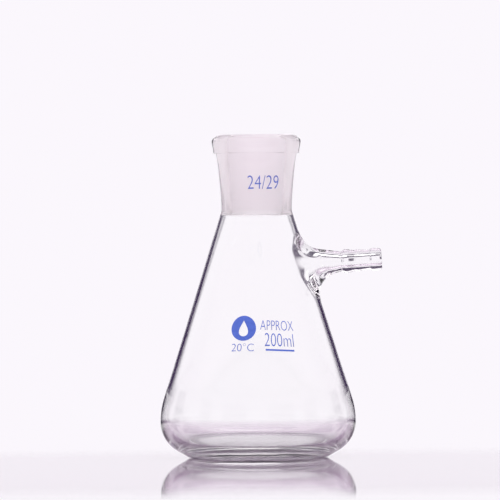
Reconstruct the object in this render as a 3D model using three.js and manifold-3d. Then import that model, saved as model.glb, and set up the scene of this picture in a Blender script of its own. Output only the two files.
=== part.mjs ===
// A 200 ml filter (Buchner) flask of borosilicate glass, in millimetres, +Z up.
// The origin is the centre of the flat base, on the axis of the flask; the side arm points along +X.
// The flask is five blown or drawn glass pieces, welded end to end: the conical body, the ground
// socket in its neck, the collar round the mouth, the flared root of the side arm, and the ridged
// hose connector at its tip.

import * as THREE from "three";
import { LoftGeometry } from "three/addons/geometries/LoftGeometry.js";
import { mergeVertices } from "three/addons/utils/BufferGeometryUtils.js";
import Module from "manifold-3d";

const wasm = await Module();
wasm.setup();

// ---- Driving dimensions ----

const totalHeight = 130;

// Conical body
const bodyRadius = 39.5; // at its widest
const bodyRadiusHeight = 14.5; // height of the widest place
const coneHalfAngle = THREE.MathUtils.degToRad(17.5);
const neckWeldHeight = 97.4;
const neckWeldRadius = 14.95;
const heelRadius = 13.5; // outside, from the widest place down
const heelSweep = THREE.MathUtils.degToRad(60);
const baseFillet = 3;
const coneWall = 1.4; // measured level
const innerMaxRadius = 37.2;
const innerMaxHeight = 15.7;
const innerHeelRadius = 11.5;

// Ground socket 24/29: the bore narrows by 1 in 10 on the diameter from 24 mm at the mouth
const mouthRadius = 12;
const taperOnRadius = 0.05;
const socketOutline = [
  [neckWeldRadius, neckWeldHeight],
  [14.28, 99.4],
  [14.2, 101],
  [14.45, 106],
  [15, 112.5],
  [15.65, 118.5],
]; // radius and height, up to under the collar

// Collar round the mouth
const collarBottom = 122.6;
const collarLowRadius = 17.3;
const collarLowBevel = 0.4;
const collarRadius = 18; // at its widest
const collarRadiusHeight = 127.7;
const collarShoulder = [17.3, 129.2]; // radius and height where its rounded top begins to flatten
const topLandRadius = 16.1;
const landChamfer = 0.2;
const socketUnderCollar = 16.3;

// Side arm: its axis tilts up towards the tip and crosses the seam at a known place
const armTilt = THREE.MathUtils.degToRad(3.3);
const seamX = 33.84;
const seamZ = 78.8;
const seamRadius = 4.05;
const armGrowth = 0.19; // the root's radius grows this much for each mm back from the seam
const boreRadius = 1.9;
const boreGrowth = 0.13;
const flarePull = 0.6; // how far each end of a flare's curve keeps its own direction
const holeOvershoot = 12; // takes the cutter past the bulge of the cone across the hole

// The flares that join arm and cone, at the arm's top, sides and bottom:
// "round" is how far beyond the arm's own surface the flare spreads on the cone, "along" how far
// up the arm it ends.
const outerSpread = {
  round: { top: 7, side: 8.5, bottom: 9.3 },
  along: { top: 6, side: 9, bottom: 9.8 },
};
const boreSpread = {
  round: { top: 5, side: 8.5, bottom: 5.5 },
  along: { top: 5, side: 8.5, bottom: 8 },
};

// Hose connector, as distances along the arm from the seam and radii there
const weldGap = 0.3; // between pieces that meet on a slanted face
const ridgeProfile = [
  [weldGap, 4.05],
  [0.6, 4.1],
  [1.5, 4.8],
  [2, 4.9],
  [3, 4.75],
  [5.5, 4.25],
  [6.1, 4.3],
  [6.9, 4.5],
  [8, 4.35],
  [11.2, 4],
  [12, 4.1],
  [12.6, 4.6],
  [15.4, 4.45],
  [16.2, 4.25],
  [16.55, 3.7],
];

const segments = 64; // round the flask
const armSegments = 32; // round the side arm

// Colours and finishes
const clearGlass = { color: 0xeaf0f2, roughness: 0.05, metalness: 0, transparent: true, opacity: 0.4 };
const groundGlass = { color: 0xeee4ec, roughness: 0.6, metalness: 0, transparent: true, opacity: 0.85 };

// ---- Outlines ----

// Outside radius of the cone at a height, as if it ran on past its ends.
function coneRadius(z) {
  return neckWeldRadius + Math.tan(coneHalfAngle) * (neckWeldHeight - z);
}

// Points on an arc about [r, z], from one angle to another, both ends included.
function arc(centreR, centreZ, radius, from, to, steps) {
  return Array.from({ length: steps + 1 }, (_, i) => {
    const angle = from + ((to - from) * i) / steps;
    return [centreR + radius * Math.cos(angle), centreZ + radius * Math.sin(angle)];
  });
}

// The arc that leaves the widest place upright and runs up to touch the cone.
function shoulderArc(maxRadius, maxHeight, wall, steps) {
  const slack = coneRadius(maxHeight) - wall - maxRadius;
  const radius = slack / (1 / Math.cos(coneHalfAngle) - 1);
  return arc(maxRadius - radius, maxHeight, radius, 0, coneHalfAngle, steps);
}

// Outside of the body, from the middle of the base up to the neck weld.
function bodyOutside() {
  const heelCentre = bodyRadius - heelRadius;
  const heel = arc(heelCentre, bodyRadiusHeight, heelRadius, -heelSweep, 0, 7);
  // Below the arc the heel runs straight down to the base and turns into it with a small fillet.
  const [heelEndR, heelEndZ] = heel[0];
  const slope = Math.PI / 2 - heelSweep;
  const footR = heelEndR - heelEndZ / Math.tan(slope);
  const touch = baseFillet * Math.tan(slope / 2);
  const filletCentre = footR - touch;
  const fillet = arc(filletCentre, baseFillet, baseFillet, -Math.PI / 2, slope - Math.PI / 2, 2);
  return [
    [0, 0],
    ...fillet,
    ...heel,
    ...shoulderArc(bodyRadius, bodyRadiusHeight, 0, 4).slice(1),
    [neckWeldRadius, neckWeldHeight],
  ];
}

// Inside of the body, from the neck weld down to the middle of the floor.
function bodyInside() {
  const centre = innerMaxRadius - innerHeelRadius;
  const shoulder = shoulderArc(innerMaxRadius, innerMaxHeight, coneWall, 3).reverse();
  const heel = arc(centre, innerMaxHeight, innerHeelRadius, 0, -Math.PI / 2, 9).slice(1);
  return [
    [neckWeldRadius - coneWall, neckWeldHeight],
    ...shoulder,
    ...heel,
    [0, innerMaxHeight - innerHeelRadius],
  ];
}

// Bore radius of the ground socket at a height.
function socketBore(z) {
  return mouthRadius - taperOnRadius * (totalHeight - z);
}

// Outside of the socket tube, from the neck weld up to under the collar.
function socketOutside() {
  const knots = [...socketOutline, [socketUnderCollar, collarBottom]];
  const curve = new THREE.SplineCurve(knots.map(([r, z]) => new THREE.Vector2(r, z)));
  return curve.getPoints(3 * socketOutline.length).map((p) => [p.x, p.y]);
}

function lathe(outline) {
  const points = outline.map(([r, z]) => new THREE.Vector2(r, z));
  const geometry = new THREE.LatheGeometry(points, segments);
  geometry.rotateX(Math.PI / 2); // the lathe turns about Y, the flask about Z
  return geometry;
}

// ---- Side arm surfaces ----

const armAxis = new THREE.Vector3(Math.cos(armTilt), 0, Math.sin(armTilt));
const armUp = new THREE.Vector3(-Math.sin(armTilt), 0, Math.cos(armTilt));
const armSide = new THREE.Vector3(0, -1, 0);
const seamCentre = new THREE.Vector3(seamX, 0, seamZ);

// The point that lies `back` mm behind the seam, `radius` off the arm's axis, `angle` round from the top.
function armPoint(back, radius, angle) {
  return seamCentre
    .clone()
    .addScaledVector(armAxis, -back)
    .addScaledVector(armUp, radius * Math.cos(angle))
    .addScaledVector(armSide, radius * Math.sin(angle));
}

// Outward normal of the cone at a point on its face.
function coneNormal(p) {
  const level = new THREE.Vector3(p.x, p.y, 0).normalize();
  return level.multiplyScalar(Math.cos(coneHalfAngle)).setZ(Math.sin(coneHalfAngle));
}

// How far behind the seam a line at this radius and angle meets the cone, whose face is `wall` mm in.
// The radius may change with the distance back, so it is given as a function.
function backAtCone(radiusAt, angle, wall) {
  let near = 0;
  let far = seamX;
  for (let i = 0; i < 40; i += 1) {
    const middle = (near + far) / 2;
    const p = armPoint(middle, radiusAt(middle), angle);
    const outside = Math.hypot(p.x, p.y) > coneRadius(p.z) - wall;
    if (outside) near = middle;
    else far = middle;
  }
  return (near + far) / 2;
}

// A size that changes smoothly round the arm, from its top over its sides to its bottom.
function byAngle(angle, { top, side, bottom }) {
  const lean = Math.cos(angle);
  return side + ((top - bottom) / 2) * lean + ((top + bottom) / 2 - side) * lean ** 2;
}

// One line of the flare, from the cone's face along a smooth curve to the arm's own slope.
function flareLine(angle, { startRadius, growth, wall, spread }, steps) {
  const tube = (back) => startRadius + growth * back;
  const cornerBack = backAtCone(tube, angle, wall);
  const footRadius = tube(cornerBack) + byAngle(angle, spread.round);
  const footBack = backAtCone(() => footRadius, angle, wall);
  const foot = armPoint(footBack, footRadius, angle);
  const besideRadius = footRadius - 0.1;
  const beside = armPoint(backAtCone(() => besideRadius, angle, wall), besideRadius, angle);
  const corner = armPoint(cornerBack, tube(cornerBack), angle);
  const endBack = cornerBack - byAngle(angle, spread.along);
  const end = armPoint(endBack, tube(endBack), angle);
  const along = beside.sub(foot).normalize();
  const footHandle = foot.clone().addScaledVector(along, flarePull * foot.distanceTo(corner));
  const endHandle = end.clone().lerp(corner, flarePull);
  return new THREE.CubicBezierCurve3(foot, footHandle, endHandle, end).getPoints(steps);
}

const outerFlare = {
  startRadius: seamRadius,
  growth: armGrowth,
  wall: 0,
  spread: outerSpread,
};

const innerFlare = {
  startRadius: boreRadius,
  growth: boreGrowth,
  wall: coneWall,
  spread: boreSpread,
};

// Rings round the arm: ring i holds point i of every flare line.
function flareRings(flare, steps) {
  const lines = Array.from({ length: armSegments }, (_, i) =>
    flareLine((2 * Math.PI * i) / armSegments, flare, steps),
  );
  return lines[0].map((_, ring) => lines.map((line) => line[ring]));
}

function armRing(back, radius) {
  return Array.from({ length: armSegments }, (_, i) =>
    armPoint(back, radius, (2 * Math.PI * i) / armSegments),
  );
}

// ---- Joining ----

function solidOf(geometry) {
  const bare = new THREE.BufferGeometry();
  bare.setAttribute("position", geometry.getAttribute("position"));
  bare.setIndex(geometry.index);
  const merged = mergeVertices(bare);
  return new wasm.Manifold(
    new wasm.Mesh({
      numProp: 3,
      vertProperties: new Float32Array(merged.attributes.position.array),
      triVerts: new Uint32Array(merged.index.array),
    }),
  );
}

function geometryOf(solid) {
  const mesh = solid.getMesh();
  const geometry = new THREE.BufferGeometry();
  geometry.setAttribute("position", new THREE.BufferAttribute(mesh.vertProperties, 3));
  geometry.setIndex(new THREE.BufferAttribute(mesh.triVerts, 1));
  geometry.computeVertexNormals();
  return geometry;
}

// ---- Pieces ----

// The rim of the arm's foot, pushed `gap` mm outwards over the cone and `depth` mm off its face.
function footRim(gap, depth) {
  const foot = flareRings(outerFlare, 1)[0];
  const centre = new THREE.Vector3();
  foot.forEach((p) => centre.addScaledVector(p, 1 / foot.length));
  return foot.map((p) => {
    const normal = coneNormal(p);
    const out = p.clone().sub(centre).projectOnPlane(normal).normalize();
    return p.clone().addScaledVector(out, gap).addScaledVector(normal, depth);
  });
}

// The hole in the body's wall that the arm's foot fills, as the solid that cuts it.
function armHole() {
  const rims = [footRim(weldGap, -2 * coneWall), footRim(weldGap, holeOvershoot)];
  return new LoftGeometry(rims, { capStart: true, capEnd: true });
}

function flaskBody() {
  const shell = solidOf(lathe([...bodyOutside(), ...bodyInside()]));
  return geometryOf(shell.subtract(solidOf(armHole())));
}

function groundSocket() {
  const outside = socketOutside();
  const inside = [
    [socketBore(totalHeight), totalHeight],
    [socketBore(neckWeldHeight), neckWeldHeight],
  ];
  return lathe([
    ...outside,
    [socketUnderCollar, totalHeight - landChamfer],
    [topLandRadius, totalHeight],
    ...inside,
    outside[0],
  ]);
}

function sideArm() {
  const rings = [
    ...flareRings(outerFlare, 8),
    armRing(0, seamRadius),
    armRing(0, boreRadius),
    ...flareRings(innerFlare, 6).reverse(),
    footRim(0, -coneWall * Math.cos(coneHalfAngle)),
  ];
  return new LoftGeometry([...rings, rings[0]]);
}

function rimCollar() {
  return lathe([
    [socketUnderCollar, collarBottom],
    [collarLowRadius - collarLowBevel, collarBottom],
    [collarLowRadius, collarBottom + collarLowBevel],
    [collarRadius, collarRadiusHeight],
    collarShoulder,
    [socketUnderCollar, totalHeight - landChamfer],
    [socketUnderCollar, collarBottom],
  ]);
}

// Made along +X from the seam, so that its group can tilt it with the arm.
function hoseConnector() {
  const tip = ridgeProfile.at(-1)[0];
  const outline = [
    ...ridgeProfile.map(([along, radius]) => [radius, along]),
    [boreRadius, tip],
    [boreRadius, weldGap],
    [seamRadius, weldGap],
  ];
  const points = outline.map(([radius, along]) => new THREE.Vector2(radius, along));
  const geometry = new THREE.LatheGeometry(points, armSegments);
  geometry.rotateZ(-Math.PI / 2);
  return geometry;
}

// ---- Assembly ----

function piece(name, geometry, finish) {
  const mesh = new THREE.Mesh(geometry, new THREE.MeshStandardMaterial(finish));
  mesh.name = name;
  return mesh;
}

const tiltedArm = new THREE.Group();
tiltedArm.position.copy(seamCentre);
tiltedArm.rotation.y = -armTilt;
tiltedArm.add(piece("hose_connector", hoseConnector(), clearGlass));

const flask = new THREE.Group();
flask.add(piece("flask_body", flaskBody(), clearGlass));
flask.add(piece("ground_socket", groundSocket(), groundGlass));
flask.add(piece("rim_collar", rimCollar(), clearGlass));
flask.add(piece("side_arm", sideArm(), clearGlass));
flask.add(tiltedArm);

export default flask;
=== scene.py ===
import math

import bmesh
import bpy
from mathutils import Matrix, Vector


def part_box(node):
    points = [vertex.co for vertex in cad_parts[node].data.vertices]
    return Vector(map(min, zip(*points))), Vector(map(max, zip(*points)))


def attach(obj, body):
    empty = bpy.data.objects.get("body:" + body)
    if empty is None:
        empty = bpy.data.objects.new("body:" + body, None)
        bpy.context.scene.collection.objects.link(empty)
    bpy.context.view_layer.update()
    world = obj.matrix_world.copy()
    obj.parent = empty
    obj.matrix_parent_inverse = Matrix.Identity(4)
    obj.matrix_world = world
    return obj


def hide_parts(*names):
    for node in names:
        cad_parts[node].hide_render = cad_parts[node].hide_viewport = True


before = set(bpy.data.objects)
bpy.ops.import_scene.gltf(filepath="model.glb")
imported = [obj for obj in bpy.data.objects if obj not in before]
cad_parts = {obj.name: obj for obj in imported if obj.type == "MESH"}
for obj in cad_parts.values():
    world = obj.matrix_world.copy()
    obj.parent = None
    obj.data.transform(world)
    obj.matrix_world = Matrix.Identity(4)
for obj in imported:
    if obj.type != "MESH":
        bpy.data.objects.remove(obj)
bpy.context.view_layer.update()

# A 200 ml filter flask of borosilicate glass. Outlines are worked out in millimetres and written
# to the meshes in metres. Every piece is a closed skin; where two pieces are fused, their touching
# faces carry a fully clear material, so that light passes as it does through one body of glass.

MM = 0.001


# ---- Sizes from the frame, in millimetres ----

def corners(node):
    """Lowest and highest corner of a CAD node, in millimetres."""
    low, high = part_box(node)
    return Vector(low) / MM, Vector(high) / MM


BODY_LOW, BODY_HIGH = corners("flask_body")
SOCKET_LOW, SOCKET_HIGH = corners("ground_socket")
COLLAR_LOW, COLLAR_HIGH = corners("rim_collar")

TOTAL_HEIGHT = SOCKET_HIGH.z
BODY_RADIUS = BODY_HIGH.x
NECK_WELD_Z = BODY_HIGH.z
COLLAR_BOTTOM = COLLAR_LOW.z
COLLAR_RADIUS = COLLAR_HIGH.x
COLLAR_SEAT_RADIUS = SOCKET_HIGH.x

# ---- Other driving sizes, the same as in the CAD part ----

BODY_RADIUS_Z = 14.5
CONE_HALF_ANGLE = math.radians(17.5)
NECK_WELD_RADIUS = 14.95
HEEL_RADIUS = 13.5
HEEL_SWEEP = math.radians(60)
BASE_FILLET = 3.0
CONE_WALL = 1.4
INNER_MAX_RADIUS = 37.2
INNER_MAX_Z = 15.7
INNER_HEEL_RADIUS = 11.5

MOUTH_RADIUS = 12.0
TAPER_ON_RADIUS = 0.05
TOP_LAND_RADIUS = 16.1
LAND_CHAMFER = 0.2
SOCKET_OUTLINE = [(14.95, 97.4), (14.28, 99.4), (14.2, 101), (14.45, 106), (15, 112.5), (15.65, 118.5)]

ARM_TILT = math.radians(3.3)
SEAM_X = 33.84
SEAM_Z = 78.8
SEAM_RADIUS = 4.05
ARM_GROWTH = 0.19
BORE_RADIUS = 1.9
BORE_GROWTH = 0.13
RIDGES = [
    (0.0, 3.95), (0.3, 4.03), (0.6, 4.1), (1.5, 4.8), (2.0, 4.9), (3.0, 4.75), (5.5, 4.25),
    (6.1, 4.3), (6.9, 4.5), (8.0, 4.35), (11.2, 4.0), (12.0, 4.1), (12.6, 4.6), (15.4, 4.45),
    (16.2, 4.25), (16.5, 3.85), (16.55, 3.4),
]

WORN_SHADE_INNER_RADIUS = 22.0    # the base is dulled from here out to where it lifts off the bench, and painted mauve as shade
WORN_SHADE_HEIGHT = 0.6

# ---- Mesh density ----

COLUMNS = 256            # round the flask
PATCH_COLUMNS = 35       # half the width of the patch round the arm, in columns
PATCH_ROWS = 34
PATCH_LOW = 56.0
PATCH_HIGH = 95.0
PATCH_LAYERS = 10
CONNECTOR_COLUMNS = 96

CLEAR, GROUND, WELD, WORN_AND_SHADED = 0, 1, 2, 3    # material indices of a glass piece; the last is rough worn glass with painted shade


# ---- Outlines ----

def cone_radius(z):
    """Outside radius of the cone at a height, as if it ran on past its ends."""
    return NECK_WELD_RADIUS + math.tan(CONE_HALF_ANGLE) * (NECK_WELD_Z - z)


def arc(centre_r, centre_z, radius, start, end, steps):
    """Points along an arc between two angles, both ends included."""
    angles = [start + (end - start) * i / steps for i in range(steps + 1)]
    return [(centre_r + radius * math.cos(a), centre_z + radius * math.sin(a)) for a in angles]


def line(start, end, steps):
    """Points between two outline points, without the start and with the end."""
    return [
        tuple(a + (b - a) * i / steps for a, b in zip(start, end))
        for i in range(1, steps + 1)
    ]


def smooth_line(points, steps):
    """A curve through all the points, with `steps` pieces between each two."""
    ends = [points[0], *points, points[-1]]
    out = [points[0]]
    for a, b, c, d in zip(ends, ends[1:], ends[2:], ends[3:]):
        for i in range(1, steps + 1):
            t = i / steps
            out.append(tuple(
                0.5 * (2 * q + (r - p) * t + (2 * p - 5 * q + 4 * r - s) * t * t
                       + (3 * q - p - 3 * r + s) * t ** 3)
                for p, q, r, s in zip(a, b, c, d)
            ))
    return out


def shoulder_arc(max_radius, max_z, wall, steps):
    """The arc that leaves the widest place upright and runs up to touch the cone."""
    slack = cone_radius(max_z) - wall - max_radius
    radius = slack / (1 / math.cos(CONE_HALF_ANGLE) - 1)
    return arc(max_radius - radius, max_z, radius, 0, CONE_HALF_ANGLE, steps)


def cone_rows(start, wall):
    """Rows up the cone from the shoulder to the neck weld, with the patch rows evenly spaced."""
    def at(z):
        return (cone_radius(z) - wall, z)
    return [
        *line(start, at(PATCH_LOW), 14),
        *line(at(PATCH_LOW), at(PATCH_HIGH), PATCH_ROWS),
        *line(at(PATCH_HIGH), at(NECK_WELD_Z), 3),
    ]


def body_outside():
    """Base, fillet, heel, shoulder and cone, from the middle of the base to the neck weld."""
    heel = arc(BODY_RADIUS - HEEL_RADIUS, BODY_RADIUS_Z, HEEL_RADIUS, -HEEL_SWEEP, 0, 28)
    slope = math.pi / 2 - HEEL_SWEEP
    foot_radius = heel[0][0] - heel[0][1] / math.tan(slope)
    fillet_centre = foot_radius - BASE_FILLET * math.tan(slope / 2)
    fillet = arc(fillet_centre, BASE_FILLET, BASE_FILLET, -math.pi / 2, slope - math.pi / 2, 8)
    shoulder = shoulder_arc(BODY_RADIUS, BODY_RADIUS_Z, 0, 12)
    return [
        *line((0, 0), fillet[0], 10),
        *fillet[1:],
        *line(fillet[-1], heel[0], 3),
        *heel[1:],
        *shoulder[1:],
        *cone_rows(shoulder[-1], 0),
    ]


def body_inside():
    """Flat floor, heel, shoulder and cone, from the middle of the floor to the neck weld."""
    floor = INNER_MAX_Z - INNER_HEEL_RADIUS
    centre = INNER_MAX_RADIUS - INNER_HEEL_RADIUS
    heel = arc(centre, INNER_MAX_Z, INNER_HEEL_RADIUS, -math.pi / 2, 0, 32)
    shoulder = shoulder_arc(INNER_MAX_RADIUS, INNER_MAX_Z, CONE_WALL, 12)
    return [
        *line((0, floor), heel[0], 10),
        *heel[1:],
        *shoulder[1:],
        *cone_rows(shoulder[-1], CONE_WALL),
    ]


def socket_bore(z):
    """Radius of the ground taper at a height."""
    return MOUTH_RADIUS - TAPER_ON_RADIUS * (TOTAL_HEIGHT - z)


# ---- Side arm surfaces ----

ARM_AXIS = Vector((math.cos(ARM_TILT), 0, math.sin(ARM_TILT)))
ARM_UP = Vector((-math.sin(ARM_TILT), 0, math.cos(ARM_TILT)))
ARM_SIDE = Vector((0, -1, 0))
SEAM_CENTRE = Vector((SEAM_X, 0, SEAM_Z))


def arm_point(back, radius, angle):
    """The point `back` mm behind the seam, `radius` off the arm's axis, `angle` round from the top."""
    off_axis = ARM_UP * math.cos(angle) + ARM_SIDE * math.sin(angle)
    return SEAM_CENTRE - ARM_AXIS * back + off_axis * radius


def back_at_cone(radius_at, angle, wall):
    """How far behind the seam a line along the arm meets the cone, whose face is `wall` mm in."""
    near, far = 0.0, SEAM_X
    for _ in range(40):
        middle = (near + far) / 2
        p = arm_point(middle, radius_at(middle), angle)
        if math.hypot(p.x, p.y) > cone_radius(p.z) - wall:
            near = middle
        else:
            far = middle
    return (near + far) / 2


class Flare:
    """The smooth skin between the cone's face and the arm's own slope, outside or in the bore."""

    def __init__(self, radius, growth, wall, reach_out, reach_along):
        self.radius = radius
        self.growth = growth
        self.wall = wall
        self.reach_out = reach_out
        self.reach_along = reach_along

    def tube(self, back):
        """Radius of the arm `back` mm behind the seam, without the flare."""
        return self.radius + self.growth * back

    def on_cone(self, radius, angle):
        """Where a line along the arm, `radius` off its axis, meets the cone's face."""
        return arm_point(back_at_cone(lambda _: radius, angle, self.wall), radius, angle)

    def line(self, angle, steps):
        """Points from the cone's face out along the arm, at one angle round it."""
        corner_back = back_at_cone(self.tube, angle, self.wall)
        corner = arm_point(corner_back, self.tube(corner_back), angle)
        foot_radius = self.tube(corner_back) + self.reach_out(angle)
        foot = self.on_cone(foot_radius, angle)
        inward = (self.on_cone(foot_radius - 0.05, angle) - foot).normalized()
        end_back = corner_back - self.reach_along(angle)
        end = arm_point(end_back, self.tube(end_back), angle)
        pull = 0.6
        handles = [foot, foot + inward * pull * (corner - foot).length, end.lerp(corner, pull), end]
        return [bezier(handles, i / steps) for i in range(steps + 1)]


def bezier(p, t):
    """The point at t on the cubic curve with the four handles p."""
    u = 1 - t
    return p[0] * u ** 3 + p[1] * (3 * u * u * t) + p[2] * (3 * u * t * t) + p[3] * t ** 3


def by_angle(angle, top, side, bottom):
    """A size that changes smoothly round the arm, from its top over its sides to its bottom."""
    lean = math.cos(angle)
    return side + (top - bottom) / 2 * lean + ((top + bottom) / 2 - side) * lean ** 2


OUTER_FLARE = Flare(
    SEAM_RADIUS, ARM_GROWTH, 0.0,
    lambda a: by_angle(a, 7.0, 8.5, 9.3),
    lambda a: by_angle(a, 6.0, 9.0, 9.8),
)
INNER_FLARE = Flare(
    BORE_RADIUS, BORE_GROWTH, CONE_WALL,
    lambda a: by_angle(a, 5.0, 8.5, 5.5),
    lambda a: by_angle(a, 5.0, 8.5, 8.0),
)


# ---- Building skins ----

class Skin:
    """Collects the points, in millimetres, and the faces of one closed mesh."""

    def __init__(self):
        self.points = []
        self.faces = []
        self.kinds = []

    def ring(self, points):
        first = len(self.points)
        self.points.extend(points)
        return list(range(first, len(self.points)))

    def lathe_ring(self, radius, z, columns=COLUMNS):
        turns = [2 * math.pi * i / columns for i in range(columns)]
        return self.ring([Vector((radius * math.cos(a), radius * math.sin(a), z)) for a in turns])

    def band(self, one, other, kind, skip=()):
        """Quads between two closed rings, except at the skipped columns."""
        count = len(one)
        for i in range(count):
            if i not in skip:
                j = (i + 1) % count
                self.add((one[i], one[j], other[j], other[i]), kind)

    def fan(self, ring, tip, kind):
        centre = self.ring([tip])[0]
        for i, corner in enumerate(ring):
            self.add((corner, ring[(i + 1) % len(ring)], centre), kind)

    def add(self, face, kind):
        self.faces.append(face)
        self.kinds.append(kind)

    def build(self, name, materials):
        mesh = bpy.data.meshes.new(name)
        mesh.from_pydata([p * MM for p in self.points], [], self.faces)
        for material in materials:
            mesh.materials.append(material)
        mesh.polygons.foreach_set("material_index", self.kinds)
        tidy_normals(mesh)
        piece = bpy.data.objects.new(name, mesh)
        bpy.context.collection.objects.link(piece)
        return piece


def tidy_normals(mesh):
    """Faces point outwards, shading is smooth, and it breaks at the welds and at real corners."""
    corner_angle = math.radians(42)
    shape = bmesh.new()
    shape.from_mesh(mesh)
    bmesh.ops.recalc_face_normals(shape, faces=shape.faces)
    for face in shape.faces:
        face.smooth = True
    for edge in shape.edges:
        kinds = {face.material_index == WELD for face in edge.link_faces}
        edge.smooth = len(kinds) == 1 and edge.calc_face_angle(0) < corner_angle
    shape.to_mesh(mesh)
    shape.free()


# ---- The body ----

def patch_loop(rows, first_row):
    """The rim of the patch round the arm, as point numbers in order round it."""
    low, high = first_row, first_row + PATCH_ROWS
    left, right = -PATCH_COLUMNS, PATCH_COLUMNS
    places = [(column, low) for column in range(left, right)]
    places += [(right, row) for row in range(low, high)]
    places += [(column, high) for column in range(right, left, -1)]
    places += [(left, row) for row in range(high, low, -1)]
    return [rows[row][column % COLUMNS] for column, row in places]


def arm_angle(p):
    """How far round the arm's axis a point lies, from the top."""
    off = p - SEAM_CENTRE
    return math.atan2(off.dot(ARM_SIDE), off.dot(ARM_UP))


def patch_to_foot(skin, loop, feet, wall):
    """Fills the patch with layers of quads that run in to the flare's foot, on the cone's face."""
    outer = [skin.points[i] for i in loop]
    last = loop
    for layer in range(1, PATCH_LAYERS + 1):
        t = layer / PATCH_LAYERS
        points = []
        for rim, foot in zip(outer, feet):
            turn = math.atan2(rim.y, rim.x) * (1 - t) + math.atan2(foot.y, foot.x) * t
            z = rim.z * (1 - t) + foot.z * t
            radius = cone_radius(z) - wall
            points.append(Vector((radius * math.cos(turn), radius * math.sin(turn), z)))
        ring = skin.ring(points)
        skin.band(last, ring, CLEAR)
        last = ring
    return last


def body_face(skin, outline, flare, wall):
    """One face of the body, outside or inside, with the hole for the arm. Returns its top ring,
    the rim of its hole, and the angles round the arm of the points on that rim."""
    outline = outline[1:]
    rows = [skin.lathe_ring(r, z) for r, z in outline]
    skin.fan(rows[0], Vector((0, 0, outline[0][1])), CLEAR)
    first_row = min(range(len(outline)), key=lambda i: abs(outline[i][1] - PATCH_LOW))
    hole = {column % COLUMNS for column in range(-PATCH_COLUMNS, PATCH_COLUMNS)}
    for number, (one, other) in enumerate(zip(rows, rows[1:])):
        in_patch = first_row <= number < first_row + PATCH_ROWS
        # the underside ring gets the worn material: rougher, and painted mauve as shade
        worn_shaded = outline[number + 1][1] < WORN_SHADE_HEIGHT and outline[number][0] > WORN_SHADE_INNER_RADIUS
        kind = WORN_AND_SHADED if worn_shaded else CLEAR
        skin.band(one, other, kind, skip=hole if in_patch else ())
    loop = patch_loop(rows, first_row)
    angles = [arm_angle(skin.points[i]) for i in loop]
    feet = [flare.line(angle, 1)[0] for angle in angles]
    rim = patch_to_foot(skin, loop, feet, wall)
    return rows[-1], rim, angles


def make_body(glass, ground, weld, worn_shaded):
    """The blown body. Also returns the angles of the points round the hole for the side arm."""
    skin = Skin()
    top_out, rim_out, angles = body_face(skin, body_outside(), OUTER_FLARE, 0.0)
    top_in, rim_in, _ = body_face(skin, body_inside(), INNER_FLARE, CONE_WALL)
    skin.band(top_out, top_in, WELD)
    skin.band(rim_out, rim_in, WELD)
    return skin.build("body_glass", [glass, ground, weld, worn_shaded]), angles


# ---- The side arm and its hose connector ----

def arm_ring(skin, back, radius, angles):
    """A round ring about the arm's axis."""
    return skin.ring([arm_point(back, radius, a) for a in angles])


def flare_rings(skin, flare, angles, steps):
    """The rings of a flare, from the cone's face out along the arm."""
    lines = [flare.line(a, steps) for a in angles]
    return [skin.ring([points[i] for points in lines]) for i in range(steps + 1)]


def make_arm(angles, glass, ground, weld):
    """The flared root, which necks in outside and beads inward where it was welded."""
    skin = Skin()
    outside = flare_rings(skin, OUTER_FLARE, angles, 30)
    neck = [(1.0, 0.19), (0.5, 0.08), (0.2, 0.0), (0.0, -0.1)]
    outside += [arm_ring(skin, back, SEAM_RADIUS + extra, angles) for back, extra in neck]
    inside = flare_rings(skin, INNER_FLARE, angles, 24)
    bead = [(2.0, 0.26), (1.0, 0.1), (0.4, -0.08), (0.0, -0.15)]
    inside += [arm_ring(skin, back, BORE_RADIUS + extra, angles) for back, extra in bead]
    for rings in (outside, inside):
        for one, other in zip(rings, rings[1:]):
            skin.band(one, other, CLEAR)
    skin.band(outside[0], inside[0], WELD)
    skin.band(outside[-1], inside[-1], WELD)
    return skin.build("side_arm_glass", [glass, ground, weld])


def make_connector(glass, ground, weld):
    """The ridged tube from the weld to its fire-polished end."""
    skin = Skin()
    angles = [2 * math.pi * i / CONNECTOR_COLUMNS for i in range(CONNECTOR_COLUMNS)]
    end = RIDGES[-1][0]
    outside = smooth_line(RIDGES, 5)
    lip = [(end, 3.0), (end, 2.5), (end - 0.05, 2.2), (end - 0.3, 2.0), (end - 0.8, BORE_RADIUS)]
    bore = [(end / 2, BORE_RADIUS), (0.8, BORE_RADIUS), (0.4, 1.83), (0.0, 1.75)]
    rings = [arm_ring(skin, -s, radius, angles) for s, radius in [*outside, *lip, *bore]]
    for one, other in zip(rings, rings[1:]):
        skin.band(one, other, CLEAR)
    skin.band(rings[-1], rings[0], WELD)
    return skin.build("hose_connector_glass", [glass, ground, weld])


# ---- The socket and its collar ----

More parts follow.
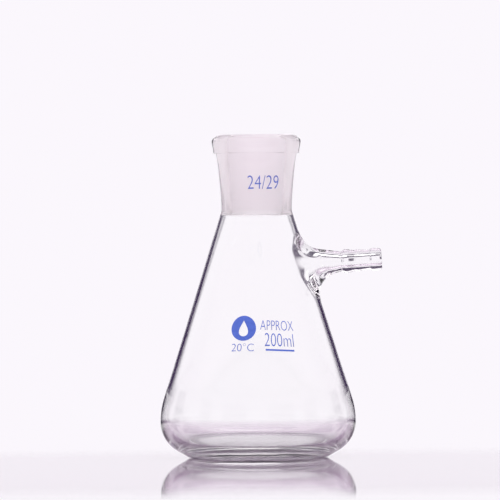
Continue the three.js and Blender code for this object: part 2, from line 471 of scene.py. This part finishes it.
def make_socket(glass, ground, weld):
    """The neck: clear outside, with the ground taper inside and a flat land at the mouth."""
    skin = Skin()
    outline = [*SOCKET_OUTLINE, (COLLAR_SEAT_RADIUS, COLLAR_BOTTOM)]
    tube = smooth_line(outline, 10)
    seat_top = TOTAL_HEIGHT - LAND_CHAMFER
    seat = line(tube[-1], (COLLAR_SEAT_RADIUS, seat_top), 3)
    lip = 0.5
    bore_top = (socket_bore(TOTAL_HEIGHT - lip), TOTAL_HEIGHT - lip)
    land = [
        (TOP_LAND_RADIUS + 0.08, TOTAL_HEIGHT - 0.05),
        (TOP_LAND_RADIUS, TOTAL_HEIGHT),
        *line((TOP_LAND_RADIUS, TOTAL_HEIGHT), (MOUTH_RADIUS + lip, TOTAL_HEIGHT), 6),
        (MOUTH_RADIUS + 0.15, TOTAL_HEIGHT - 0.12),
    ]
    bore = [bore_top, *line(bore_top, (socket_bore(NECK_WELD_Z), NECK_WELD_Z), 40)]
    ledge = [(NECK_WELD_RADIUS - CONE_WALL, NECK_WELD_Z)]
    spans = [(tube, CLEAR), (seat, WELD), (land, CLEAR), (bore, GROUND), (ledge, CLEAR)]
    first = last = skin.lathe_ring(*tube[0])
    for number, (points, kind) in enumerate(spans):
        for point in points[1:] if number == 0 else points:
            ring = skin.lathe_ring(*point)
            skin.band(last, ring, kind)
            last = ring
    skin.band(last, first, WELD)
    return skin.build("socket_glass", [glass, ground, weld])


def make_collar(glass, ground, weld):
    """The bead of glass round the mouth, fused to the socket all along its seat."""
    skin = Skin()
    low = COLLAR_BOTTOM
    side = [
        (COLLAR_SEAT_RADIUS, low), (16.9, low + 0.02), (17.15, low + 0.08), (17.28, low + 0.22),
        (17.35, low + 0.6), (17.55, low + 2.2), (17.8, low + 3.6), (17.95, low + 4.4),
        (COLLAR_RADIUS, low + 4.8), (17.97, low + 5.15), (17.85, low + 5.6), (17.6, low + 6.05),
        (17.2, low + 6.45), (16.8, low + 6.72), (COLLAR_SEAT_RADIUS, TOTAL_HEIGHT - LAND_CHAMFER),
    ]
    outline = smooth_line(side, 4)
    rings = [skin.lathe_ring(r, z) for r, z in outline]
    for one, other in zip(rings, rings[1:]):
        skin.band(one, other, CLEAR)
    skin.band(rings[-1], rings[0], WELD)
    return skin.build("collar_glass", [glass, ground, weld])


# ---- Fired enamel prints ----

TEXT_SLOPE = math.radians(2.5)     # the capacity lines run a little downhill
MARK_TURN = math.radians(-11.0)    # places round the flask, from the front to the right
CAPACITY_TURN = math.radians(16.4)
NOTE_TURN = math.radians(15.6)
JOINT_SIZE_TURN = math.radians(11.2)


def cone_place(turn, z):
    """Outside face of the flask at an angle round it and a height, for the cone or the socket."""
    if z < NECK_WELD_Z:
        radius = cone_radius(z)
    else:
        outline = [*SOCKET_OUTLINE, (COLLAR_SEAT_RADIUS, COLLAR_BOTTOM)]
        tube = smooth_line(outline, 10)
        below = max((p for p in tube if p[1] <= z), key=lambda p: p[1])
        above = min((p for p in tube if p[1] > z), key=lambda p: p[1])
        share = (z - below[1]) / (above[1] - below[1])
        radius = below[0] + (above[0] - below[0]) * share
    return radius, turn, z


def wrap(flat, turn, z, slope):
    """Bends a flat print, drawn in millimetres with Y up, on to the flask's front. `turn` is how
    far its middle lies to the right of the front, and `slope` turns it on the glass."""
    ink_bottom = 0.02
    level_radius = cone_place(0, z)[0]
    for vertex in flat.verts:
        x, y, lift = vertex.co
        across = x * math.cos(slope) + y * math.sin(slope)
        up = y * math.cos(slope) - x * math.sin(slope)
        radius, angle, height = cone_place(turn + across / level_radius, z + up)
        radius += ink_bottom + lift
        vertex.co = Vector((radius * math.sin(angle), -radius * math.cos(angle), height)) * MM


def slice_across(flat, step):
    """Cuts the print into narrow upright strips, so that it can bend round the glass."""
    xs = [v.co.x for v in flat.verts]
    x = math.floor(min(xs) / step) * step
    while x < max(xs):
        geometry = flat.verts[:] + flat.edges[:] + flat.faces[:]
        bmesh.ops.bisect_plane(flat, geom=geometry, plane_co=(x, 0, 0), plane_no=(1, 0, 0))
        x += step


def thicken(flat, height):
    """Raises a copy of the flat print, with walls between the two."""
    made = bmesh.ops.extrude_face_region(flat, geom=flat.faces[:], use_keep_orig=True)
    for item in made["geom"]:
        if isinstance(item, bmesh.types.BMVert):
            item.co.z += height
    bmesh.ops.recalc_face_normals(flat, faces=flat.faces)


def finish_print(name, flat, turn, z, slope, ink):
    """Makes a print from its flat shape: cut into strips, given a thickness and bent on."""
    ink_height = 0.04
    slice_across(flat, 0.6)
    thicken(flat, ink_height)
    wrap(flat, turn, z, slope)
    mesh = bpy.data.meshes.new(name)
    flat.to_mesh(mesh)
    flat.free()
    mesh.materials.append(ink)
    piece = bpy.data.objects.new(name, mesh)
    bpy.context.collection.objects.link(piece)
    return piece


def letters(text, height, width):
    """The text as a flat mesh, its middle at the origin, scaled to a height and a width."""
    thinner_strokes = -0.014
    curve = bpy.data.curves.new("lettering", "FONT")
    curve.body = text
    curve.resolution_u = 6
    curve.offset = thinner_strokes
    holder = bpy.data.objects.new("lettering", curve)
    bpy.context.collection.objects.link(holder)
    graph = bpy.context.evaluated_depsgraph_get()
    mesh = bpy.data.meshes.new_from_object(holder.evaluated_get(graph))
    flat = bmesh.new()
    flat.from_mesh(mesh)
    bpy.data.objects.remove(holder)
    bpy.data.curves.remove(curve)
    bpy.data.meshes.remove(mesh)
    bmesh.ops.remove_doubles(flat, verts=flat.verts, dist=1e-5)
    xs = [v.co.x for v in flat.verts]
    ys = [v.co.y for v in flat.verts]
    for vertex in flat.verts:
        vertex.co.x = ((vertex.co.x - min(xs)) / (max(xs) - min(xs)) - 0.5) * width
        vertex.co.y = ((vertex.co.y - min(ys)) / (max(ys) - min(ys)) - 0.5) * height
    return flat


def add_outline(flat, outer, inner=()):
    """A flat face between two closed outlines with the same number of points, or one filled one."""
    rim = [flat.verts.new((x, y, 0)) for x, y in outer]
    hole = [flat.verts.new((x, y, 0)) for x, y in inner]
    if not hole:
        flat.faces.new(rim)
    for i in range(len(hole)):
        j = (i + 1) % len(hole)
        flat.faces.new((rim[i], rim[j], hole[j], hole[i]))


def circle(radius, steps):
    """Points round a circle, from its top."""
    turns = [2 * math.pi * i / steps for i in range(steps)]
    return [(-radius * math.sin(a), radius * math.cos(a)) for a in turns]


def drop(radius, length, steps):
    """Points round a drop with its tip up."""
    out = []
    for i in range(steps):
        a = 2 * math.pi * i / steps
        pinch = math.sin(a / 2) ** 1.5
        out.append((-radius * math.sin(a) * pinch, length / 2 * math.cos(a)))
    return out


def make_prints(ink):
    """Capacity, joint size, and a plain mark of a drop in a disc."""
    rule = bmesh.new()
    add_outline(rule, [(-6, -0.35), (6, -0.35), (6, 0.35), (-6, 0.35)])
    mark = bmesh.new()
    add_outline(mark, circle(5.0, 64), drop(2.6, 6.4, 64))
    # name, flat shape, turn round the flask, height of its middle, slope
    prints = [
        ("print_joint_size", letters("24/29", 5.4, 13.0), JOINT_SIZE_TURN, 110.8, 0.0),
        ("print_capacity", letters("200ml", 5.2, 12.0), CAPACITY_TURN, 47.4, TEXT_SLOPE),
        ("print_note", letters("APPROX", 3.9, 13.6), NOTE_TURN, 53.2, TEXT_SLOPE),
        ("print_temperature", letters("20°C", 3.2, 9.0), MARK_TURN, 44.6, 0.0),
        ("print_rule", rule, CAPACITY_TURN, 43.3, TEXT_SLOPE),
        ("print_mark", mark, MARK_TURN, 52.2, 0.0),
    ]
    return [finish_print(name, flat, turn, z, slope, ink) for name, flat, turn, z, slope in prints]


# ---- Materials ----

GLASS_IOR = 1.473                  # borosilicate



def new_material(name):
    """An empty node material, with its nodes and links."""
    material = bpy.data.materials.new(name)
    material.use_nodes = True
    nodes = material.node_tree.nodes
    nodes.clear()
    return material, nodes, material.node_tree.links


def fine_bump(nodes, links, shader, scale, detail, strength, depth):
    """A noise bump in object space, in metres, on a Principled shader."""
    place = nodes.new("ShaderNodeTexCoord")
    noise = nodes.new("ShaderNodeTexNoise")
    noise.inputs["Scale"].default_value = scale
    noise.inputs["Detail"].default_value = detail
    bump = nodes.new("ShaderNodeBump")
    bump.inputs["Strength"].default_value = strength
    bump.inputs["Distance"].default_value = depth
    links.new(place.outputs["Object"], noise.inputs["Vector"])
    links.new(noise.outputs["Fac"], bump.inputs["Height"])
    links.new(bump.outputs["Normal"], shader.inputs["Normal"])


def glass_shader(nodes, links, roughness, tint):
    """A Principled glass, already joined to the material's output."""
    shader = nodes.new("ShaderNodeBsdfPrincipled")
    shader.inputs["Base Color"].default_value = (*tint, 1)
    shader.inputs["Roughness"].default_value = roughness
    shader.inputs["IOR"].default_value = GLASS_IOR
    shader.inputs["Transmission Weight"].default_value = 1.0
    out = nodes.new("ShaderNodeOutputMaterial")
    links.new(shader.outputs["BSDF"], out.inputs["Surface"])
    return shader


def clear_glass():
    """Blown borosilicate glass, with the faint waves that blowing and drawing leave."""
    material, nodes, links = new_material("clear_glass")
    shader = glass_shader(nodes, links, 0.0, (1, 1, 1))
    fine_bump(nodes, links, shader, 90, 1, 0.05, 0.0004)
    return material


def ground_glass():
    """The matt face that grinding with fine grit leaves."""
    material, nodes, links = new_material("ground_glass")
    shader = glass_shader(nodes, links, 0.5, (1.0, 0.965, 0.985))
    shader.inputs["Transmission Weight"].default_value = 0.6
    fine_bump(nodes, links, shader, 6000, 3, 0.3, 0.00004)
    return material


def worn_glass_painted_shade():
    """The ring on which the flask stands, scuffed by benches and so rougher. Its mauve is painted
    shade, the shaded table seen through the base, darker in some places than in others.
    """
    material, nodes, links = new_material("worn_underside_painted_shade")
    shader = glass_shader(nodes, links, 0.25, (1, 1, 1))
    shader.inputs["Transmission Weight"].default_value = 0.6
    place = nodes.new("ShaderNodeTexCoord")
    noise = nodes.new("ShaderNodeTexNoise")
    noise.inputs["Scale"].default_value = 260
    noise.inputs["Detail"].default_value = 4
    # painted shade: two mauve tones for the shaded table seen through the base, mixed by noise
    ramp = nodes.new("ShaderNodeValToRGB")
    ramp.color_ramp.elements[0].position = 0.3
    ramp.color_ramp.elements[0].color = (0.4, 0.34, 0.43, 1)
    ramp.color_ramp.elements[1].position = 0.7
    ramp.color_ramp.elements[1].color = (0.66, 0.58, 0.69, 1)
    links.new(place.outputs["Object"], noise.inputs["Vector"])
    links.new(noise.outputs["Fac"], ramp.inputs["Fac"])
    links.new(ramp.outputs["Color"], shader.inputs["Base Color"])
    return material


def weld_glass():
    """The inside of the glass where two pieces are fused: light passes straight on."""
    material, nodes, links = new_material("fused_weld")
    shader = nodes.new("ShaderNodeBsdfTransparent")
    out = nodes.new("ShaderNodeOutputMaterial")
    links.new(shader.outputs["BSDF"], out.inputs["Surface"])
    return material


def blue_enamel():
    """Fired ceramic ink, a little uneven in colour where it was printed thin."""
    material, nodes, links = new_material("blue_enamel")
    shader = nodes.new("ShaderNodeBsdfPrincipled")
    shader.inputs["Roughness"].default_value = 0.45
    place = nodes.new("ShaderNodeTexCoord")
    noise = nodes.new("ShaderNodeTexNoise")
    noise.inputs["Scale"].default_value = 900
    ramp = nodes.new("ShaderNodeValToRGB")
    ramp.color_ramp.elements[0].color = (0.03, 0.08, 0.42, 1)
    ramp.color_ramp.elements[1].color = (0.07, 0.15, 0.6, 1)
    out = nodes.new("ShaderNodeOutputMaterial")
    links.new(place.outputs["Object"], noise.inputs["Vector"])
    links.new(noise.outputs["Fac"], ramp.inputs["Fac"])
    links.new(ramp.outputs["Color"], shader.inputs["Base Color"])
    links.new(shader.outputs["BSDF"], out.inputs["Surface"])
    return material


# ---- Studio ----

BACKDROP = (0.965, 0.93, 0.98)     # linear, as the camera sees it
TABLE = (0.42, 0.34, 0.43)
FLOOR_DROP = 0.00015               # the table lies this far under the base, in metres


def math_node(nodes, links, operation, first, second=None):
    """A Math node on one or two inputs, each a number or another node's output."""
    node = nodes.new("ShaderNodeMath")
    node.operation = operation
    for socket, value in zip(node.inputs, (first, second)):
        if value is None:
            continue
        if isinstance(value, (int, float)):
            socket.default_value = value
        else:
            links.new(value, socket)
    return node.outputs[0]


def ramp_between(nodes, links, value, low, high):
    """0 at low and 1 at high, with a soft step between them."""
    node = nodes.new("ShaderNodeMapRange")
    node.interpolation_type = "SMOOTHSTEP"
    node.inputs["From Min"].default_value = low
    node.inputs["From Max"].default_value = high
    links.new(value, node.inputs["Value"])
    return node.outputs["Result"]


def mix_colours(nodes, links, share, first, second):
    """Goes from the first colour to the second as the share goes from 0 to 1."""
    node = nodes.new("ShaderNodeMix")
    node.data_type = "RGBA"
    links.new(share, node.inputs["Factor"])
    for socket, value in ((node.inputs[6], first), (node.inputs[7], second)):
        if isinstance(value, tuple):
            socket.default_value = (*value, 1)
        else:
            links.new(value, socket)
    return node.outputs[2]


def height_band(nodes, links, height, low, high, soft):
    """1 between two heights in degrees. It rises over `soft` degrees from the lower one, and
    falls over `soft` degrees past the upper one."""
    over = ramp_between(nodes, links, height, low, low + soft)
    under = ramp_between(nodes, links, height, high + soft, high)
    return math_node(nodes, links, "MULTIPLY", over, under)


def make_world():
    """A pale studio. The camera sees a plain backdrop. What the glass bends and mirrors is a
    bright room with dark gaps between its wall panels and a dark beam behind, under a dim ceiling.
    The gaps and the beam draw the edges of the glass. Scattered light is an even fill."""
    # from and to, in degrees round from straight behind the front view, and how dark
    gaps = [(12.0, 50.0, 1.0), (60.0, 76.0, 1.0), (104.0, 120.0, 0.4), (135.0, 166.0, 0.3)]
    gap_edge = 2.5
    gap_low, gap_low_edge = -3.0, 2.0
    gap_high, gap_high_edge = 10.5, 3.0
    beam_low, beam_high, beam_edge = 20.0, 42.0, 4.0
    beam_end, beam_end_edge = 60.0, 10.0
    lamps_low, ceiling_low, lamps_edge = 22.0, 60.0, 6.0
    bright = (0.96, 0.93, 0.975)
    lamps = (1.1, 1.07, 1.1)
    ceiling = (0.14, 0.11, 0.16)
    dark = (0.05, 0.03, 0.08)
    fill = (1.5, 1.38, 1.46)

    world = bpy.data.worlds.new("studio")
    bpy.context.scene.world = world
    world.use_nodes = True
    nodes, links = world.node_tree.nodes, world.node_tree.links
    nodes.clear()
    place = nodes.new("ShaderNodeTexCoord")
    split = nodes.new("ShaderNodeSeparateXYZ")
    links.new(place.outputs["Generated"], split.inputs[0])
    turn = math_node(nodes, links, "ARCTAN2", split.outputs["X"], split.outputs["Y"])
    side = math_node(nodes, links, "ABSOLUTE", math_node(nodes, links, "DEGREES", turn))
    rise = math_node(nodes, links, "ARCSINE", split.outputs["Z"])
    height = math_node(nodes, links, "DEGREES", rise)

    over_table = ramp_between(nodes, links, height, gap_low, gap_low + gap_low_edge)
    under_top = ramp_between(nodes, links, height, gap_high + gap_high_edge, gap_high)
    level = math_node(nodes, links, "MULTIPLY", under_top, over_table)
    room = bright
    for start, end, strength in gaps:
        opened = ramp_between(nodes, links, side, start - gap_edge, start + gap_edge)
        closed = ramp_between(nodes, links, side, end + gap_edge, end - gap_edge)
        across = math_node(nodes, links, "MULTIPLY", opened, closed)
        share = math_node(nodes, links, "MULTIPLY", across, level)
        share = math_node(nodes, links, "MULTIPLY", share, strength)
        room = mix_colours(nodes, links, share, room, dark)

    above_walls = ramp_between(nodes, links, height, lamps_low, lamps_low + lamps_edge)
    room = mix_colours(nodes, links, above_walls, room, lamps)
    behind = ramp_between(nodes, links, side, beam_end + beam_end_edge, beam_end)
    beam = height_band(nodes, links, height, beam_low, beam_high, beam_edge)
    beam = math_node(nodes, links, "MULTIPLY", behind, beam)
    room = mix_colours(nodes, links, beam, room, dark)
    overhead = ramp_between(nodes, links, height, ceiling_low, ceiling_low + lamps_edge)
    room = mix_colours(nodes, links, overhead, room, ceiling)

    path = nodes.new("ShaderNodeLightPath")
    scattered = math_node(nodes, links, "GREATER_THAN", path.outputs["Diffuse Depth"], 0.5)
    room = mix_colours(nodes, links, scattered, room, fill)
    colour = mix_colours(nodes, links, path.outputs["Is Camera Ray"], room, BACKDROP)
    back = nodes.new("ShaderNodeBackground")
    out = nodes.new("ShaderNodeOutputWorld")
    links.new(colour, back.inputs["Color"])
    links.new(back.outputs["Background"], out.inputs["Surface"])


def floor_material():
    """A pale polished table top, which fades into the backdrop away from the flask."""
    fade_centre = (0, -0.2, 0)
    fade_start, fade_end = 0.22, 0.4
    material, nodes, links = new_material("table_top")
    place = nodes.new("ShaderNodeTexCoord")
    length = nodes.new("ShaderNodeVectorMath")
    length.operation = "DISTANCE"
    length.inputs[1].default_value = fade_centre
    links.new(place.outputs["Object"], length.inputs[0])
    fade = ramp_between(nodes, links, length.outputs["Value"], fade_start, fade_end)
    top = nodes.new("ShaderNodeBsdfPrincipled")
    top.inputs["Base Color"].default_value = (*TABLE, 1)
    top.inputs["Roughness"].default_value = 0.03
    top.inputs["IOR"].default_value = 3.2
    clear = nodes.new("ShaderNodeBsdfTransparent")
    mix = nodes.new("ShaderNodeMixShader")
    out = nodes.new("ShaderNodeOutputMaterial")
    links.new(fade, mix.inputs["Fac"])
    links.new(top.outputs["BSDF"], mix.inputs[1])
    links.new(clear.outputs["BSDF"], mix.inputs[2])
    links.new(mix.outputs["Shader"], out.inputs["Surface"])
    return material


def make_floor():
    """A wide plane just under the base."""
    size = 2.2
    bpy.ops.mesh.primitive_plane_add(size=size, location=(0, 0, -FLOOR_DROP))
    floor = bpy.context.object
    floor.name = "table_top"
    floor.data.materials.append(floor_material())


def make_light():
    """One large soft lamp above and behind the flask."""
    light = bpy.data.lights.new("soft_box", "AREA")
    light.shape = "DISK"
    light.size = 1.2
    light.energy = 6
    lamp = bpy.data.objects.new("soft_box", light)
    lamp.location = (0.2, 0.5, 1.6)
    lamp.rotation_euler = (Vector((0, 0, 0.05)) - lamp.location).to_track_quat("-Z", "Y").to_euler()
    bpy.context.collection.objects.link(lamp)


def make_camera():
    """A long lens far off, a little under half the flask's height, turned up a touch."""
    distance = 2.6
    eye_height = 0.060
    aim = Vector((-0.0028, 0, 0.0837))
    data = bpy.data.cameras.new("camera")
    data.sensor_width = 36
    data.lens = 463.3
    data.clip_start = 0.05
    camera = bpy.data.objects.new("camera", data)
    camera.location = (aim.x, -distance, eye_height)
    camera.rotation_euler = (aim - camera.location).to_track_quat("-Z", "Y").to_euler()
    camera.rotation_euler.rotate_axis("Z", math.radians(-0.42))
    bpy.context.collection.objects.link(camera)
    bpy.context.scene.camera = camera


def set_scene():
    """Plain colours, and enough light bounces to get through every wall of the glass."""
    scene = bpy.context.scene
    scene.view_settings.view_transform = "Standard"
    cycles = scene.cycles
    cycles.max_bounces = 40
    cycles.transmission_bounces = 32
    cycles.glossy_bounces = 16
    cycles.diffuse_bounces = 12
    cycles.transparent_max_bounces = 32
    cycles.caustics_refractive = True
    cycles.caustics_reflective = True
    cycles.use_denoising = True


# ---- Assembly ----

def assemble():
    """Builds every piece, ties it to the root body and hides the CAD part that it replaces."""
    glass, ground, weld = clear_glass(), ground_glass(), weld_glass()
    body, angles = make_body(glass, ground, weld, worn_glass_painted_shade())
    pieces = [
        (body, "flask_body", "clear_glass"),
        (make_socket(glass, ground, weld), "ground_socket", "ground_glass"),
        (make_collar(glass, ground, weld), "rim_collar", "clear_glass"),
        (make_arm(angles, glass, ground, weld), "side_arm", "clear_glass"),
        (make_connector(glass, ground, weld), "hose_connector", "clear_glass"),
    ]
    for piece, node, slot in pieces:
        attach(piece, "root")
        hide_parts(node)
    for piece in make_prints(blue_enamel()):
        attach(piece, "root")


make_camera()
set_scene()
make_world()
make_floor()
make_light()
assemble()
